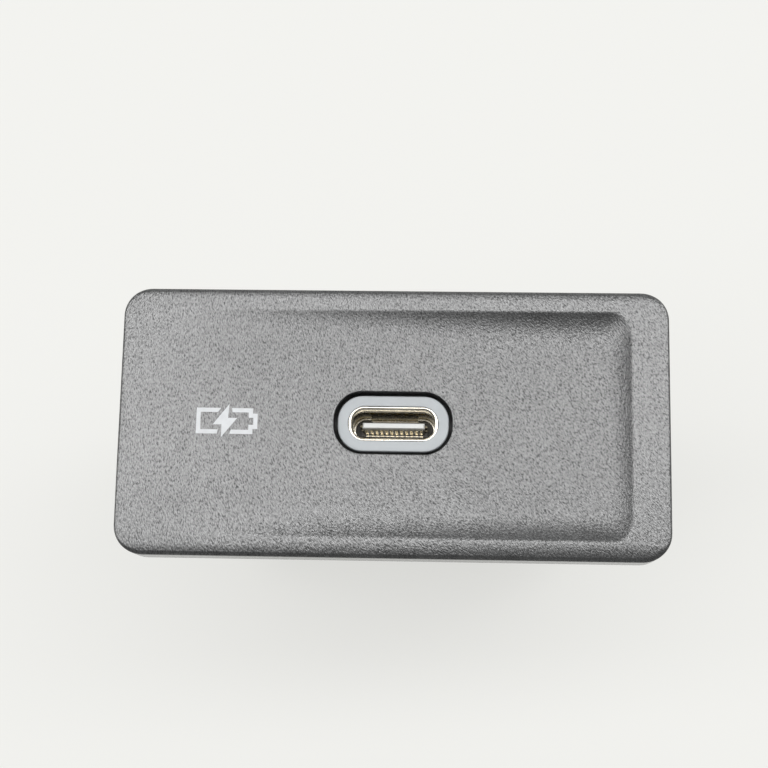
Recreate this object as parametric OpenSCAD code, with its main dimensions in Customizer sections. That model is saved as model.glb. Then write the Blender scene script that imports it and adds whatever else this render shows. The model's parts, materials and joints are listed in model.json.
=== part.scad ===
// Panel-mount USB-C charging socket, standing on its rear plug shroud with the front face up.
// The origin lies on the port axis, in the plane where the bezel rests on the panel.
// +Z comes out of the front face, +X runs along the bezel and +Y up the face.

/* [Bezel] */
// Width of the front bezel
bezel_w = 54.4; // [50:0.1:66]
// Height of the front bezel
bezel_h = 26.7; // [25:0.1:36]
// Depth of the bezel from the panel to the front face
bezel_d = 4.4; // [4:0.1:7]
// Plan radius of the bezel corners
corner_r = 2.8; // [2.4:0.1:6]
// Radius along the front edge of the bezel
edge_r = 0.3; // [0.2:0.05:0.6]
// Radius of the brows, which let the face fall off to its long edges
brow_r = 3.2; // [2.6:0.1:6]
// Width of the upper brow
brow_top = 1; // [0.6:0.1:1.6]
// Width of the lower brow
brow_bottom = 1.6; // [0.8:0.1:1.8]
// Thickness of the skirt that rests on the panel
skirt_t = 1.8; // [1.2:0.1:2.2]
// Thickness of the front wall beside the recess
face_t = 2.4; // [2:0.1:3.4]

/* [Recess] */
// Width of the flat rim at the deep end of the recess
rim_side = 3.7; // [2.5:0.1:8]
// Width of the flat rim above and below the recess
rim_edge = 1.9; // [1.2:0.1:4]
// Depth of the recess at its deep end
recess_depth = 0.95; // [0.4:0.05:1.4]
// Width of the coved wall round the recess
cove_w = 3.5; // [1.5:0.1:4]
// Height of the cove's centre above the face, as a share of the recess depth
cove_lift = 1; // [0.2:0.1:2]
// Distance from the port axis to where the floor of the recess starts to rise
ramp_end = 15.3; // [12:0.1:18]
// Distance from the port axis to where the floor meets the face
ramp_start = 22; // [14:0.5:22]

/* [Port surround] */
// Width of the ring's rim at the ends of the port
ring_rim_x = 1.05; // [0.7:0.05:1.6]
// Width of the ring's rim above and below the port
ring_rim_y = 1.2; // [0.7:0.05:1.6]
// Plan radius of the ring
ring_r = 2.5; // [1.8:0.05:2.6]
// Radius on the ring's front edge
ring_edge_r = 0.2; // [0.1:0.05:0.5]
// Bevel at the ring's mouth
ring_bevel = 0.2; // [0.05:0.05:0.4]
// Open slit between the ring and the bezel
ring_gap = 0.36; // [0.15:0.01:0.6]
// Slit between the ring and the port's steel tube
ring_fit = 0.05; // [0.02:0.01:0.15]
// How far the ring lies below the bezel's front face
ring_inset = 1.2; // [0.5:0.05:1.6]
// How far the flange reaches past the ring at its ends
flange_reach_x = 4.6; // [4:0.1:6]
// How far the flange reaches past the ring above and below
flange_reach_y = 1.4; // [0.8:0.1:2.4]
// Plan radius of the flange's corners
flange_r = 1.2; // [0.6:0.1:1.6]
// Thickness of the flange behind the bezel
flange_t = 1; // [0.6:0.1:1.4]
// Radius of the heat stakes that hold the flange
stake_r = 0.7; // [0.5:0.05:0.9]
// Radius of the heat stakes' formed heads
stake_head_r = 1.25; // [1.1:0.05:1.5]
// Height of the heat stakes' formed heads
stake_head_t = 0.5; // [0.3:0.05:0.8]
// Radial clearance of the stakes in the flange
stake_fit = 0.1; // [0.05:0.01:0.2]
// Width of each light-guide leg
guide_w = 1.8; // [1.2:0.1:2.2]
// Height of each light-guide leg
guide_h = 0.9; // [0.5:0.1:1.2]

/* [Receptacle] */
// Width of the port opening
port_w = 8.34; // [8:0.01:9]
// Height of the port opening
port_h = 2.56; // [2.4:0.01:2.8]
// Wall of the port's steel tube
shell_t = 0.25; // [0.2:0.01:0.4]
// Length of the port's steel tube
shell_len = 10; // [9:0.1:12]
// How far the tube's mouth lies behind the ring's front
mouth_inset = 0.15; // [0.05:0.05:0.8]
// Depth of the port down to the insulator's base
port_depth = 6.6; // [5.8:0.1:7]
// Width of the tongue over the edges of its steel plate
tongue_w = 6.69; // [6.5:0.01:6.9]
// Thickness of the tongue
tongue_t = 0.7; // [0.6:0.01:0.8]
// How far the tongue's tip lies behind the mouth
tongue_inset = 1.1; // [0.5:0.1:1.4]
// Length of the tongue's tapered nose
tongue_nose = 0.4; // [0.2:0.05:0.6]
// Thickness of the tongue at its tip
tongue_tip_t = 0.44; // [0.3:0.01:0.6]
// Bevel at the corners of the tongue's tip
tongue_corner = 0.15; // [0.1:0.05:0.5]
// Thickness of the tongue's root
root_t = 1.15; // [1:0.05:1.4]
// Length of the tongue's root
root_len = 2; // [1:0.1:2.4]
// Thickness of the steel plate in the tongue
plate_t = 0.16; // [0.1:0.01:0.2]
// How far the plate stands out at the tongue's sides
plate_edge = 0.25; // [0.1:0.01:0.3]
// How far the plate ends behind the tongue's tip
plate_inset = 0.6; // [0.6:0.05:1]
// Depth of the latch notches in the plate
notch_d = 0.3; // [0.2:0.05:0.5]
// Length of the latch notches
notch_len = 0.9; // [0.6:0.1:1.2]
// How far the latch notches lie behind the plate's front
notch_set = 1.6; // [1:0.1:2]
// Wall of the collar at the back of the port
collar_t = 0.15; // [0.1:0.01:0.2]
// How far the collar stands out of the base
collar_front = 0.8; // [0.4:0.1:1.2]
// How much further the collar stands out at its ends
collar_ear = 1.4; // [0.5:0.1:2]
// Width of the lower stretch in the middle of the collar
collar_mid_w = 4.8; // [4:0.1:5.4]
// Width of the earth pads on the tongue's root
pad_w = 5.8; // [5:0.1:6.2]
// Thickness of the earth pads
pad_t = 0.1; // [0.06:0.01:0.15]
// How far the collar reaches into the base
collar_back = 0.9; // [0.5:0.1:1.2]
// Contacts in each row
contact_count = 12; // [4:1:12]
// Pitch of the contacts
contact_pitch = 0.5; // [0.45:0.01:0.55]
// Width of a contact
contact_w = 0.25; // [0.18:0.01:0.3]
// Thickness of a contact
contact_t = 0.12; // [0.08:0.01:0.15]
// How far a contact stands proud of the tongue
contact_proud = 0.03; // [0.01:0.01:0.05]
// How far the contacts start behind the tongue's tip
contact_inset = 1.2; // [0.8:0.1:1.5]
// Sheet thickness of the saddle over the receptacle
bracket_t = 0.25; // [0.2:0.01:0.35]
// Length of the saddle along the receptacle
bracket_len = 5; // [4.5:0.1:5.6]
// Width of each solder leg of the saddle
bracket_leg_w = 1.1; // [0.8:0.1:1.4]
// Clearance of the receptacle's own pieces on each other
shell_fit = 0.03; // [0.01:0.01:0.05]

/* [Housing] */
// Depth of the housing behind the panel face
body_len = 33; // [30:0.5:45]
// Room between the housing's ends and the skirt
side_room = 2.9; // [2.5:0.1:5]
// Plan radius of the housing's corners
body_r = 2.4; // [2.1:0.1:4]
// Radius along the housing's rear edge
rear_edge_r = 0.8; // [0.3:0.1:1.2]
// Wall of the housing
wall = 1.6; // [1.2:0.1:2]
// Height of the guide ribs outside the housing
rib_h = 1.2; // [0.6:0.1:1.2]
// Width of the guide ribs
rib_w = 1.2; // [0.8:0.1:2]
// Length of the guide ribs
rib_len = 17; // [10:0.5:19]
// Distance of the guide ribs from the middle
rib_x = 6; // [3:0.5:8]

/* [Panel snap arms] */
// Thickness of the panel
panel_t = 2.5; // [1.5:0.1:3.5]
// Play left between the panel and the barbs
panel_play = 0.1; // [0:0.05:0.3]
// Width of a snap arm
arm_w = 7; // [5:0.5:9]
// Length of a snap arm
arm_len = 12; // [10:0.5:14]
// Slit round a snap arm
arm_slit = 0.8; // [0.5:0.1:1.2]
// How far the arm reaches in front of its barb
arm_nose = 1.4; // [1:0.1:1.6]
// Height of a barb
barb_h = 1.5; // [0.8:0.1:2]
// Flat crest of a barb
barb_crest = 0.6; // [0.3:0.1:1]
// Length of a barb along the arm
barb_len = 5; // [3:0.1:7]
// Free room behind a pressed arm
arm_room = 0.6; // [0.3:0.1:1]

/* [Bezel legs] */
// Distance of the bezel's snap legs from the middle
leg_x = 13; // [11:0.5:16]
// Width of a snap leg
leg_w = 6; // [5:0.5:8]
// Thickness of a snap leg
leg_t = 1.2; // [1:0.1:1.6]
// Clearance between a leg and the housing
leg_fit = 0.1; // [0.05:0.05:0.2]
// Clearance between a leg and the skirt
leg_play = 0.25; // [0.1:0.05:0.5]
// Distance from the panel face to the catch's shoulder
catch_back = 6.2; // [5:0.1:9]
// Length of a catch
catch_len = 2.6; // [2:0.1:3.5]
// Height of a catch
catch_h = 0.9; // [0.5:0.1:1]
// Width of a catch
catch_w = 3; // [2:0.1:3.4]
// Clearance of a catch in the leg's window
catch_fit = 0.15; // [0.05:0.05:0.3]
// Bar of the leg below its window
leg_bar = 2; // [1.5:0.1:3]

/* [Circuit board] */
// Thickness of the circuit board
board_t = 1.6; // [1:0.1:2]
// How far the board lies behind the bezel's front wall
board_setback = 2.8; // [2.6:0.1:4]
// Clearance of the board in its rails and forks
board_fit = 0.1; // [0.05:0.05:0.2]
// Clearance of the board to the housing's walls
board_side_fit = 0.3; // [0.1:0.1:0.6]
// How far the rails hold the board
rail_grip = 1.2; // [0.8:0.1:1.6]
// Thickness of a rail
rail_t = 1.2; // [0.8:0.1:1.6]
// Depth of the stop behind the board
stop_len = 1; // [0.5:0.1:2]
// Width of the bezel's board forks
fork_w = 3; // [2:0.1:4]
// Thickness of each fork's jaw
fork_t = 1.2; // [0.8:0.1:1.6]
// How far the forks hold the board
fork_grip = 1; // [0.6:0.1:1.4]

/* [Harness plug] */
// Width of the shroud round the harness pins
shroud_w = 16.4; // [15:0.1:22]
// Height of the shroud
shroud_h = 12.4; // [11:0.1:14]
// Length of the shroud
shroud_len = 11; // [9.5:0.1:16]
// Wall of the shroud
shroud_t = 1.5; // [1.2:0.1:1.8]
// Plan radius of the shroud's corners
shroud_r = 2.2; // [1.9:0.1:3]
// Number of harness pins
pin_count = 4; // [2:1:4]
// Pitch of the harness pins
pin_pitch = 2.54; // [2:0.01:2.8]
// Thickness of a square harness pin
pin_a = 0.64; // [0.5:0.01:0.8]
// How far the pin tips lie inside the shroud's mouth
pin_inset = 4.8; // [4.6:0.1:5.4]
// Clearance of the pins in the plastic
pin_fit = 0.04; // [0.02:0.01:0.1]
// How far the pins and legs stand out below the board
solder_out = 0.7; // [0.4:0.1:1.2]
// Height of the header block
header_h = 3.6; // [3:0.1:4.5]
// Length of the header block
header_len = 3; // [2.5:0.1:4]
// Plastic beyond the outer pins of the header block
header_end = 1.6; // [1.2:0.1:2.4]
// Height of the plug's latch ramp on the shroud
latch_h = 1.1; // [0.6:0.1:1.5]
// Width of the plug's latch ramp
latch_w = 4; // [3:0.1:6]
// Length of the plug's latch ramp
latch_len = 4; // [3:0.1:5]
// Height of the keying ribs on the shroud
key_h = 0.7; // [0.4:0.1:1.2]
// Width of the keying ribs
key_w = 1; // [0.6:0.1:1.6]
// Reach of the gussets between the shroud and the housing
gusset = 3; // [1.5:0.1:5]
// Thickness of the gussets
gusset_t = 1.2; // [0.8:0.1:1.6]

/* [Components] */
// Clearance between the components and the rails
part_gap = 0.5; // [0.3:0.1:1]
// Side of the power inductor
inductor_a = 7; // [5:0.1:7.4]
// Height of the power inductor
inductor_h = 4; // [3:0.1:5]
// Bevel on the inductor's corners
inductor_bevel = 0.6; // [0.2:0.1:1]
// Sheet thickness of component terminals
lead_t = 0.15; // [0.1:0.01:0.2]
// Diameter of the bulk capacitor's can
can_d = 6.3; // [5:0.1:6.6]
// Height of the bulk capacitor above the board
can_h = 5.8; // [4.5:0.1:6]
// Height of the bulk capacitor's base
can_base_h = 0.9; // [0.6:0.1:1.2]
// Bevel of the capacitor base's corners
can_base_bevel = 1.2; // [0.8:0.1:1.6]
// Depth of the can's crimp groove
can_crimp = 0.25; // [0.1:0.05:0.4]
// Height of the crimp groove above the base
can_crimp_up = 1.1; // [0.8:0.1:1.6]
// Shoulder round the top of the can
can_shoulder = 0.4; // [0.2:0.1:0.8]
// Width of the converter chip's body
chip_w = 3.9; // [3:0.1:4.2]
// Length of the converter chip's body
chip_l = 4.9; // [4.4:0.1:6]
// Height of the converter chip
chip_h = 1.6; // [1.2:0.1:2]
// Gap under the converter chip
chip_stand = 0.1; // [0.05:0.01:0.2]
// Pitch of the chip's leads
chip_pitch = 1.27; // [1.1:0.01:1.4]
// Width of a chip lead
chip_lead_w = 0.42; // [0.3:0.01:0.5]
// How far a chip lead runs out before it bends down
chip_lead_step = 0.35; // [0.25:0.05:0.5]
// Length of a chip lead's foot
chip_lead_foot = 0.6; // [0.4:0.1:0.8]
// Radius of the chips' pin-one dimple
dimple_r = 0.28; // [0.2:0.01:0.35]
// Depth of the dimple
dimple = 0.08; // [0.04:0.01:0.12]
// Side of the port controller
controller_a = 4; // [3:0.1:4.4]
// Height of the port controller
controller_h = 0.85; // [0.6:0.05:1]
// Diameter of the filter choke
choke_d = 5; // [4:0.1:5.4]
// Height of the filter choke
choke_h = 3.4; // [2.4:0.1:4]
// Thickness of the choke's flanges
choke_lip = 0.7; // [0.5:0.1:0.9]
// How far the choke's coil lies inside its flanges
choke_inset = 0.3; // [0.1:0.1:0.6]
// Distance of the choke from the middle of the board
choke_off = 1; // [0.6:0.1:1.4]
// Length of the surge diode's body
diode_l = 4.4; // [3.6:0.1:4.6]
// Width of the surge diode's body
diode_w = 3.6; // [2.6:0.1:3.8]
// Height of the surge diode
diode_h = 2.2; // [1.6:0.1:2.6]
// Taper of the diode's ends
diode_taper = 0.25; // [0.1:0.05:0.4]
// How far the diode's leads fold under it
diode_under = 1; // [0.6:0.1:1.4]
// Length of a ceramic capacitor
cap_l = 2; // [1.6:0.1:2.2]
// Width of a ceramic capacitor
cap_w = 1.25; // [0.8:0.05:1.4]
// Height of a ceramic capacitor
cap_h = 0.95; // [0.6:0.05:1.25]
// Length of a ceramic capacitor's end caps
cap_end = 0.45; // [0.3:0.05:0.6]
// Length of a chip resistor
res_l = 1.6; // [1.2:0.1:2]
// Width of a chip resistor
res_w = 0.8; // [0.6:0.05:1]
// Height of a chip resistor
res_h = 0.5; // [0.4:0.05:0.6]
// Length of a chip resistor's end caps
res_end = 0.3; // [0.2:0.05:0.4]
// How far the end caps of chip components stand proud of the body
cap_skin = 0.03; // [0.01:0.01:0.05]
// Space between neighbouring chip components
chip_gap = 0.4; // [0.3:0.05:0.8]
// Width of a backlight lamp
led_w = 1.6; // [1.2:0.1:2]
// Height of a backlight lamp
led_h = 0.9; // [0.6:0.1:1.2]
// Air between a backlight lamp and its light guide
led_air = 0.1; // [0.05:0.05:0.3]

/* [Hidden] */
$fn = 48;

// Overlap that fuses two features of one moulding, and how far a cutter runs past a face
weld = 0.4;
cut = 1;

// Levels along Z
face_z = bezel_d;
back_z = face_z - face_t;
ring_z = face_z - ring_inset;
flange_z = back_z - flange_t;
mouth_z = ring_z - mouth_inset;
tongue_z = mouth_z - tongue_inset;
base_z = mouth_z - port_depth;
shell_end_z = mouth_z - shell_len;
barb_z = -(panel_t + panel_play);
arm_tip_z = barb_z + arm_nose;
arm_root_z = arm_tip_z - arm_len;
rear_z = -body_len;
floor_z = rear_z + wall;
shroud_z = rear_z - shroud_len;
board_front_z = back_z - board_setback;
board_end_z = floor_z + stop_len;

// Port outline, from the opening outward
shell_w = port_w + 2 * shell_t;
shell_h = port_h + 2 * shell_t;
ring_open_w = shell_w + 2 * ring_fit;
ring_open_h = shell_h + 2 * ring_fit;
ring_w = ring_open_w + 2 * ring_rim_x;
ring_h = ring_open_h + 2 * ring_rim_y;
flange_w = ring_w + 2 * flange_reach_x;
flange_h = ring_h + 2 * flange_reach_y;
stake_x = flange_w / 2 - stake_head_r - stake_fit;
stake_y = flange_h / 2 - stake_head_r - stake_fit;
guide_x = ring_w / 2 + guide_w / 2;

// Housing, set inside the skirt with the bezel legs between them
body_w = bezel_w - 2 * (skirt_t + side_room);
body_h = bezel_h - 2 * (skirt_t + leg_play + leg_t + leg_fit);
inner_x = body_w / 2 - wall;
leg_in = body_h / 2 + leg_fit;
leg_tip_z = -(catch_back + catch_fit + leg_bar);

// Circuit board, under the receptacle
board_top = -shell_h / 2;
board_bottom = board_top - board_t;
board_half = inner_x - board_side_fit;
board_front_half = inner_x - barb_h - arm_room;
rail_front_z = arm_root_z - arm_slit;
fork_x = board_front_half - fork_w;
solder_y = board_bottom - solder_out;

// Rows on the board, as depths behind the panel face
contact_top = tongue_t / 2 + contact_proud;
tail_gap = 0.35;
tail_foot = 0.75;
lower_tail = -shell_end_z + tail_gap;
upper_tail = lower_tail + contact_t + tail_foot + 2 * contact_t;
tail_end = upper_tail + tail_foot;
header_front = -board_end_z - header_len - part_gap;
pin_bend = header_front - 1.6 * pin_a;
front_row = tail_end + part_gap + controller_a / 2;
mid_row = (front_row + controller_a / 2 + pin_bend) / 2 - part_gap;
rear_row = header_front + diode_w / 2 - part_gap;
bracket_z = board_front_z - part_gap / 2;
led_depth = -board_front_z + 2 * led_air;
edge_x = board_half - rail_grip - part_gap;

// Circle-ended and rounded outlines
module rounded_rect(w, h, r) {
    sx = w / 2 - r;
    sy = h / 2 - r;
    if (sx > 0) square([2 * sx, h], center = true);
    if (sy > 0) square([w, 2 * sy], center = true);
    for (x = [-sx, sx], y = [-sy, sy]) translate([x, y]) circle(r);
}

module stadium(w, h) {
    square([w - h, h], center = true);
    for (x = [-1, 1]) translate([x * (w - h) / 2, 0]) circle(h / 2);
}

// Sweeps a profile round a rounded rectangle. The profile's x runs outward from the corner centres.
module around(w, h, r) {
    sx = w / 2 - r;
    sy = h / 2 - r;
    for (turn = [0, 180]) rotate(turn) {
        if (sy > 0.001) translate([sx, sy, 0]) rotate([90, 0, 0]) linear_extrude(2 * sy) children();
        if (sx > 0.001) translate([-sx, sy, 0]) rotate([90, 0, 90]) linear_extrude(2 * sx) children();
        translate([sx, sy, 0]) rotate_extrude(angle = 90) children();
        translate([-sx, sy, 0]) rotate(90) rotate_extrude(angle = 90) children();
    }
}

// What a fillet takes off an outside corner of a profile; up is 1 at a top corner, -1 at a bottom one
module fillet_waste(x, z, r, up) {
    translate([x - r, z - up * r]) difference() {
        translate([0, up > 0 ? 0 : -2 * r]) square(2 * r);
        circle(r);
    }
}

// Block with rounded corners and a fillet all round its top edge
module filleted_block(w, h, d, r, e) {
    around(w, h, r) difference() {
        square([r, d]);
        fillet_waste(r, d, e, 1);
    }
    translate([-w / 2 + r, -h / 2 + r, 0]) cube([w - 2 * r, h - 2 * r, d]);
}

// Extrudes a profile of depth and height along X, centred on x = 0
module along_x(length) {
    translate([-length / 2, 0, 0]) rotate([90, 0, 90]) linear_extrude(length) children();
}

// Extrudes a profile of x and z along Y, centred on y = 0
module along_y(length) {
    translate([0, length / 2, 0]) rotate([90, 0, 0]) linear_extrude(length) children();
}

// Stands a piece on the board: its own z runs up from the board and its y to the rear
module on_board(x, depth) {
    translate([x, board_top, -depth]) rotate([-90, 0, 0]) children();
}

// Box on the x, y plane, centred in plan
module plan_box(x, y, z) {
    translate([-x / 2, -y / 2, 0]) cube([x, y, z]);
}

// Front bezel

module bezel_skin() {
    around(bezel_w, bezel_h, corner_r) difference() {
        union() {
            translate([0, back_z]) square([corner_r, face_t]);
            translate([corner_r - skirt_t, 0]) square([skirt_t, bezel_d]);
        }
        fillet_waste(corner_r, face_z, edge_r, 1);
    }
    plate_w = bezel_w - 2 * corner_r;
    plate_h = bezel_h - 2 * corner_r;
    translate([-plate_w / 2, -plate_h / 2, back_z]) cube([plate_w, plate_h, face_t]);
}

// Tray with a flat floor at the right, which rises to nothing at the left. Its coved wall is swept by the
// caps of lifted ellipsoids, which are steepest at the rim.
module recess() {
    run_out = 0.02;
    deep_x = bezel_w / 2 - rim_side - cove_w;
    y = bezel_h / 2 - rim_edge - cove_w;
    reach = cove_w * (1 + cove_lift) / sqrt(1 + 2 * cove_lift);
    stations = [[deep_x, recess_depth], [ramp_end, recess_depth], [-ramp_start, run_out]];
    hull() for (at = stations, side = [-1, 1])
        translate([at[0], side * y, face_z + cove_lift * at[1]])
            scale([reach, reach, (1 + cove_lift) * at[1]]) sphere(1, $fn = 56);
}

// What a brow takes off the upper long edge: an arc from the face, and a fillet between it and the side
module brow_waste(width) {
    edge = bezel_h / 2;
    arc = [edge - width, face_z - brow_r];
    turn = [edge - edge_r, arc[1] + sqrt(pow(brow_r - edge_r, 2) - pow(width - edge_r, 2))];
    lean = atan2(turn[1] - arc[1], turn[0] - arc[0]);
    reach = 2 * edge_r;
    along_x(bezel_w + 2 * cut) {
        translate(arc) difference() {
            square(2 * brow_r);
            circle(brow_r);
        }
        translate(turn) difference() {
            polygon([[0, 0], [reach, 0], [reach, reach], reach * [cos(lean), sin(lean)]]);
            circle(edge_r);
        }
    }
}

module port_hole() {
    w = ring_w + 2 * ring_gap;
    h = ring_h + 2 * ring_gap;
    translate([0, 0, back_z - cut]) linear_extrude(face_t + 2 * cut) rounded_rect(w, h, ring_r + ring_gap);
}

// Snap leg over the top of the housing, with the window for its catch
module bezel_leg() {
    leg_out = leg_in + leg_t;
    lead = leg_t / 3;
    window_z = -catch_back - catch_fit;
    difference() {
        along_x(leg_w) polygon([
            [leg_in, back_z + weld], [leg_out, back_z + weld], [leg_out, leg_tip_z + lead],
            [leg_out - lead, leg_tip_z], [leg_in + lead, leg_tip_z], [leg_in, leg_tip_z + lead]
        ]);
        translate([-catch_w / 2 - catch_fit, leg_in - cut, window_z])
            cube([catch_w + 2 * catch_fit, leg_t + 2 * cut, catch_len + 2 * catch_fit]);
    }
}

// Fork that holds the front edge of the board
module board_fork() {
    jaw_top = board_top + board_fit + fork_t;
    jaw_bottom = board_bottom - board_fit - fork_t;
    tip_z = board_front_z - fork_grip;
    difference() {
        translate([-fork_w / 2, jaw_bottom, tip_z])
            cube([fork_w, jaw_top - jaw_bottom, back_z + weld - tip_z]);
        translate([-fork_w / 2 - cut, board_bottom - board_fit, tip_z - cut])
            cube([fork_w + 2 * cut, board_t + 2 * board_fit, fork_grip + cut]);
    }
}

// Stake through the ring's flange, with the head that is formed over it
module heat_stake() {
    translate([0, 0, flange_z - weld]) cylinder(r = stake_r, h = flange_t + 2 * weld);
    translate([0, 0, flange_z - stake_head_t]) cylinder(r1 = stake_r, r2 = stake_head_r, h = stake_head_t);
}

module front_bezel() color("#55575a") difference() {
    union() {
        bezel_skin();
        for (x = [-leg_x, leg_x], turn = [0, 180]) translate([x, 0, 0]) rotate(turn) bezel_leg();
        for (x = [-fork_x, fork_x]) translate([x, 0, 0]) board_fork();
        for (x = [-stake_x, stake_x]) translate([x, stake_y, 0]) heat_stake();
    }
    recess();
    brow_waste(brow_top);
    rotate(180) brow_waste(brow_bottom);
    port_hole();
}

// Light grey ring round the port

module port_surround() color("#c9cdd0") {
    open_r = ring_open_h / 2;
    bevel_w = ring_open_w + 2 * ring_bevel;
    guide_tip_z = -led_depth + led_air;
    difference() {
        union() {
            translate([0, 0, flange_z]) filleted_block(ring_w, ring_h, ring_z - flange_z, ring_r, ring_edge_r);
            translate([0, 0, flange_z]) linear_extrude(flange_t) rounded_rect(flange_w, flange_h, flange_r);
            for (side = [-1, 1]) translate([side * guide_x - guide_w / 2, board_top + led_air, guide_tip_z])
                cube([guide_w, guide_h, flange_z + weld - guide_tip_z]);
        }
        translate([0, 0, flange_z - cut]) linear_extrude(ring_z - flange_z + 2 * cut)
            stadium(ring_open_w, ring_open_h);
        around(bevel_w, ring_open_h + 2 * ring_bevel, open_r + ring_bevel) polygon([
            [open_r, ring_z + ring_bevel], [open_r + 3 * ring_bevel, ring_z + ring_bevel],
            [open_r + ring_bevel, ring_z - ring_bevel], [open_r, ring_z - ring_bevel]
        ]);
        for (x = [-stake_x, stake_x]) translate([x, stake_y, flange_z - cut])
            cylinder(r = stake_r + stake_fit, h = flange_t + 2 * cut);
    }
}

// Rear housing

module body_tube() {
    around(body_w, body_h, body_r) difference() {
        union() {
            translate([body_r - wall, rear_z]) square([wall, back_z - rear_z]);
            translate([0, rear_z]) square([body_r, wall]);
        }
        fillet_waste(body_r, rear_z, rear_edge_r, -1);
    }
    plan_w = body_w - 2 * body_r;
    plan_h = body_h - 2 * body_r;
    translate([-plan_w / 2, -plan_h / 2, rear_z]) cube([plan_w, plan_h, wall]);
}

// Barb of a panel snap arm, on the right side
module barb() {
    x = body_w / 2;
    along_y(arm_w) polygon([
        [x - weld, barb_z], [x + barb_h, barb_z], [x + barb_h, barb_z - barb_crest],
        [x, barb_z - barb_len], [x - weld, barb_z - barb_len]
    ]);
}

// Slits that free a snap arm from the right side wall
module arm_slits() {
    x = inner_x - cut;
    depth = wall + 2 * cut;
    slit_len = arm_tip_z - arm_root_z + arm_slit;
    for (y = [arm_w / 2, -arm_w / 2 - arm_slit])
        translate([x, y, arm_root_z]) cube([depth, arm_slit, slit_len]);
    translate([x, -arm_w / 2 - arm_slit, arm_tip_z]) cube([depth, arm_w + 2 * arm_slit, arm_slit]);
}

// Catch for a bezel leg, on the top side
module leg_catch() {
    y = body_h / 2;
    z = -catch_back;
    along_x(catch_w) polygon([
        [y - weld, z], [y + catch_h, z], [y, z + catch_len], [y - weld, z + catch_len]
    ]);
}

// Guide rib that runs out on the top side of the housing
module guide_rib() {
    y = body_h / 2;
    end_z = barb_z - rib_len;
    along_x(rib_w) polygon([
        [y - weld, barb_z], [y + rib_h, barb_z], [y + rib_h, end_z + 2 * rib_h], [y, end_z], [y - weld, end_z]
    ]);
}

// Pair of rails and a stop for the board, on the right side
module board_rails() {
    grip_x = board_half - rail_grip;
    depth = inner_x + weld - grip_x;
    length = rail_front_z - floor_z + weld;
    for (y = [board_top + board_fit, board_bottom - board_fit - rail_t])
        translate([grip_x, y, floor_z - weld]) cube([depth, rail_t, length]);
    translate([grip_x, board_bottom - board_fit - weld, floor_z - weld])
        cube([depth, board_t + 2 * (board_fit + weld), stop_len + weld]);
}

// Shroud of the harness plug, with its latch ramp, keying ribs and gussets
module plug_shroud() {
    ramp_z = rear_z - shroud_len / 2;
    around(shroud_w, shroud_h, shroud_r)
        translate([shroud_r - shroud_t, shroud_z]) square([shroud_t, shroud_len + weld]);
    along_x(latch_w) polygon([
        [shroud_h / 2 - weld, ramp_z], [shroud_h / 2 + latch_h, ramp_z],
        [shroud_h / 2, ramp_z - latch_len], [shroud_h / 2 - weld, ramp_z - latch_len]
    ]);
    for (x = [-1, 1]) translate([x * shroud_w / 4 - key_w / 2, -shroud_h / 2 - key_h, shroud_z + latch_len / 2])
        cube([key_w, key_h + weld, shroud_len - latch_len / 2 + weld]);
    for (turn = [0, 180]) rotate(turn) along_y(gusset_t) polygon([
        [shroud_w / 2 - weld, rear_z + weld], [shroud_w / 2 + gusset, rear_z + weld],
        [shroud_w / 2 + gusset, rear_z], [shroud_w / 2, rear_z - gusset], [shroud_w / 2 - weld, rear_z - gusset]
    ]);
}

module rear_housing() color("#2b2c2e") {
    hole = pin_a + 4 * pin_fit;
    difference() {
        union() {
            body_tube();
            plug_shroud();
            for (turn = [0, 180]) rotate(turn) barb();
            for (x = [-leg_x, leg_x], turn = [0, 180]) translate([x, 0, 0]) rotate(turn) leg_catch();
            for (x = [-rib_x, rib_x], turn = [0, 180]) translate([x, 0, 0]) rotate(turn) guide_rib();
            for (side = [0, 1]) mirror([side, 0, 0]) board_rails();
        }
        for (turn = [0, 180]) rotate(turn) arm_slits();
        for (x = pin_places()) translate([x - hole / 2, -hole / 2, rear_z - cut])
            cube([hole, hole, wall + 2 * cut]);
    }
}

// Receptacle

// Drawn steel tube with a round lip
module receptacle_shell() color("#c8c6be") {
    lip = shell_t / 2;
    around(shell_w, shell_h, shell_h / 2) translate([port_h / 2, 0]) {
        translate([0, shell_end_z]) square([shell_t, mouth_z - lip - shell_end_z]);
        translate([lip, mouth_z - lip]) circle(lip);
    }
}

// Saddle that wraps the tube and is soldered through the board
module receptacle_bracket() color("#b9bab8") {
    in_w = shell_w + 2 * shell_fit;
    in_h = shell_h + 2 * shell_fit;
    out_w = in_w + 2 * bracket_t;
    translate([0, 0, bracket_z - bracket_len]) linear_extrude(bracket_len) difference() {
        union() {
            stadium(out_w, in_h + 2 * bracket_t);
            translate([-out_w / 2, board_top]) square([out_w, -board_top]);
        }
        stadium(in_w, in_h);
        translate([-in_w / 2, board_top - cut]) square([in_w, cut - board_top]);
        translate([-out_w, board_top - cut]) square([2 * out_w, cut]);
    }
    for (x = [-1, 1], z = bracket_leg_places())
        translate([x * (in_w + bracket_t) / 2 - bracket_t / 2, solder_y, z - bracket_leg_w / 2])
            cube([bracket_t, board_top + weld - solder_y, bracket_leg_w]);
}

// Centres of the saddle's solder legs along Z
function bracket_leg_places() = [
    for (end = [-1, 1]) bracket_z - bracket_len / 2 + end * (bracket_len - bracket_leg_w) / 2
];

// Moulded base and tongue, with the metal that is moulded into it left open
module receptacle_insulator() color("#d9dad6") difference() {
    union() {
        translate([0, 0, shell_end_z]) linear_extrude(base_z - shell_end_z)
            stadium(port_w - 2 * shell_fit, port_h - 2 * shell_fit);
        tongue();
        translate([-tongue_w / 2, -root_t / 2, base_z - weld]) cube([tongue_w, root_t, root_len + weld]);
    }
    collar_form();
    plate_form();
    upper_form();
    lower_form();
}

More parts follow.
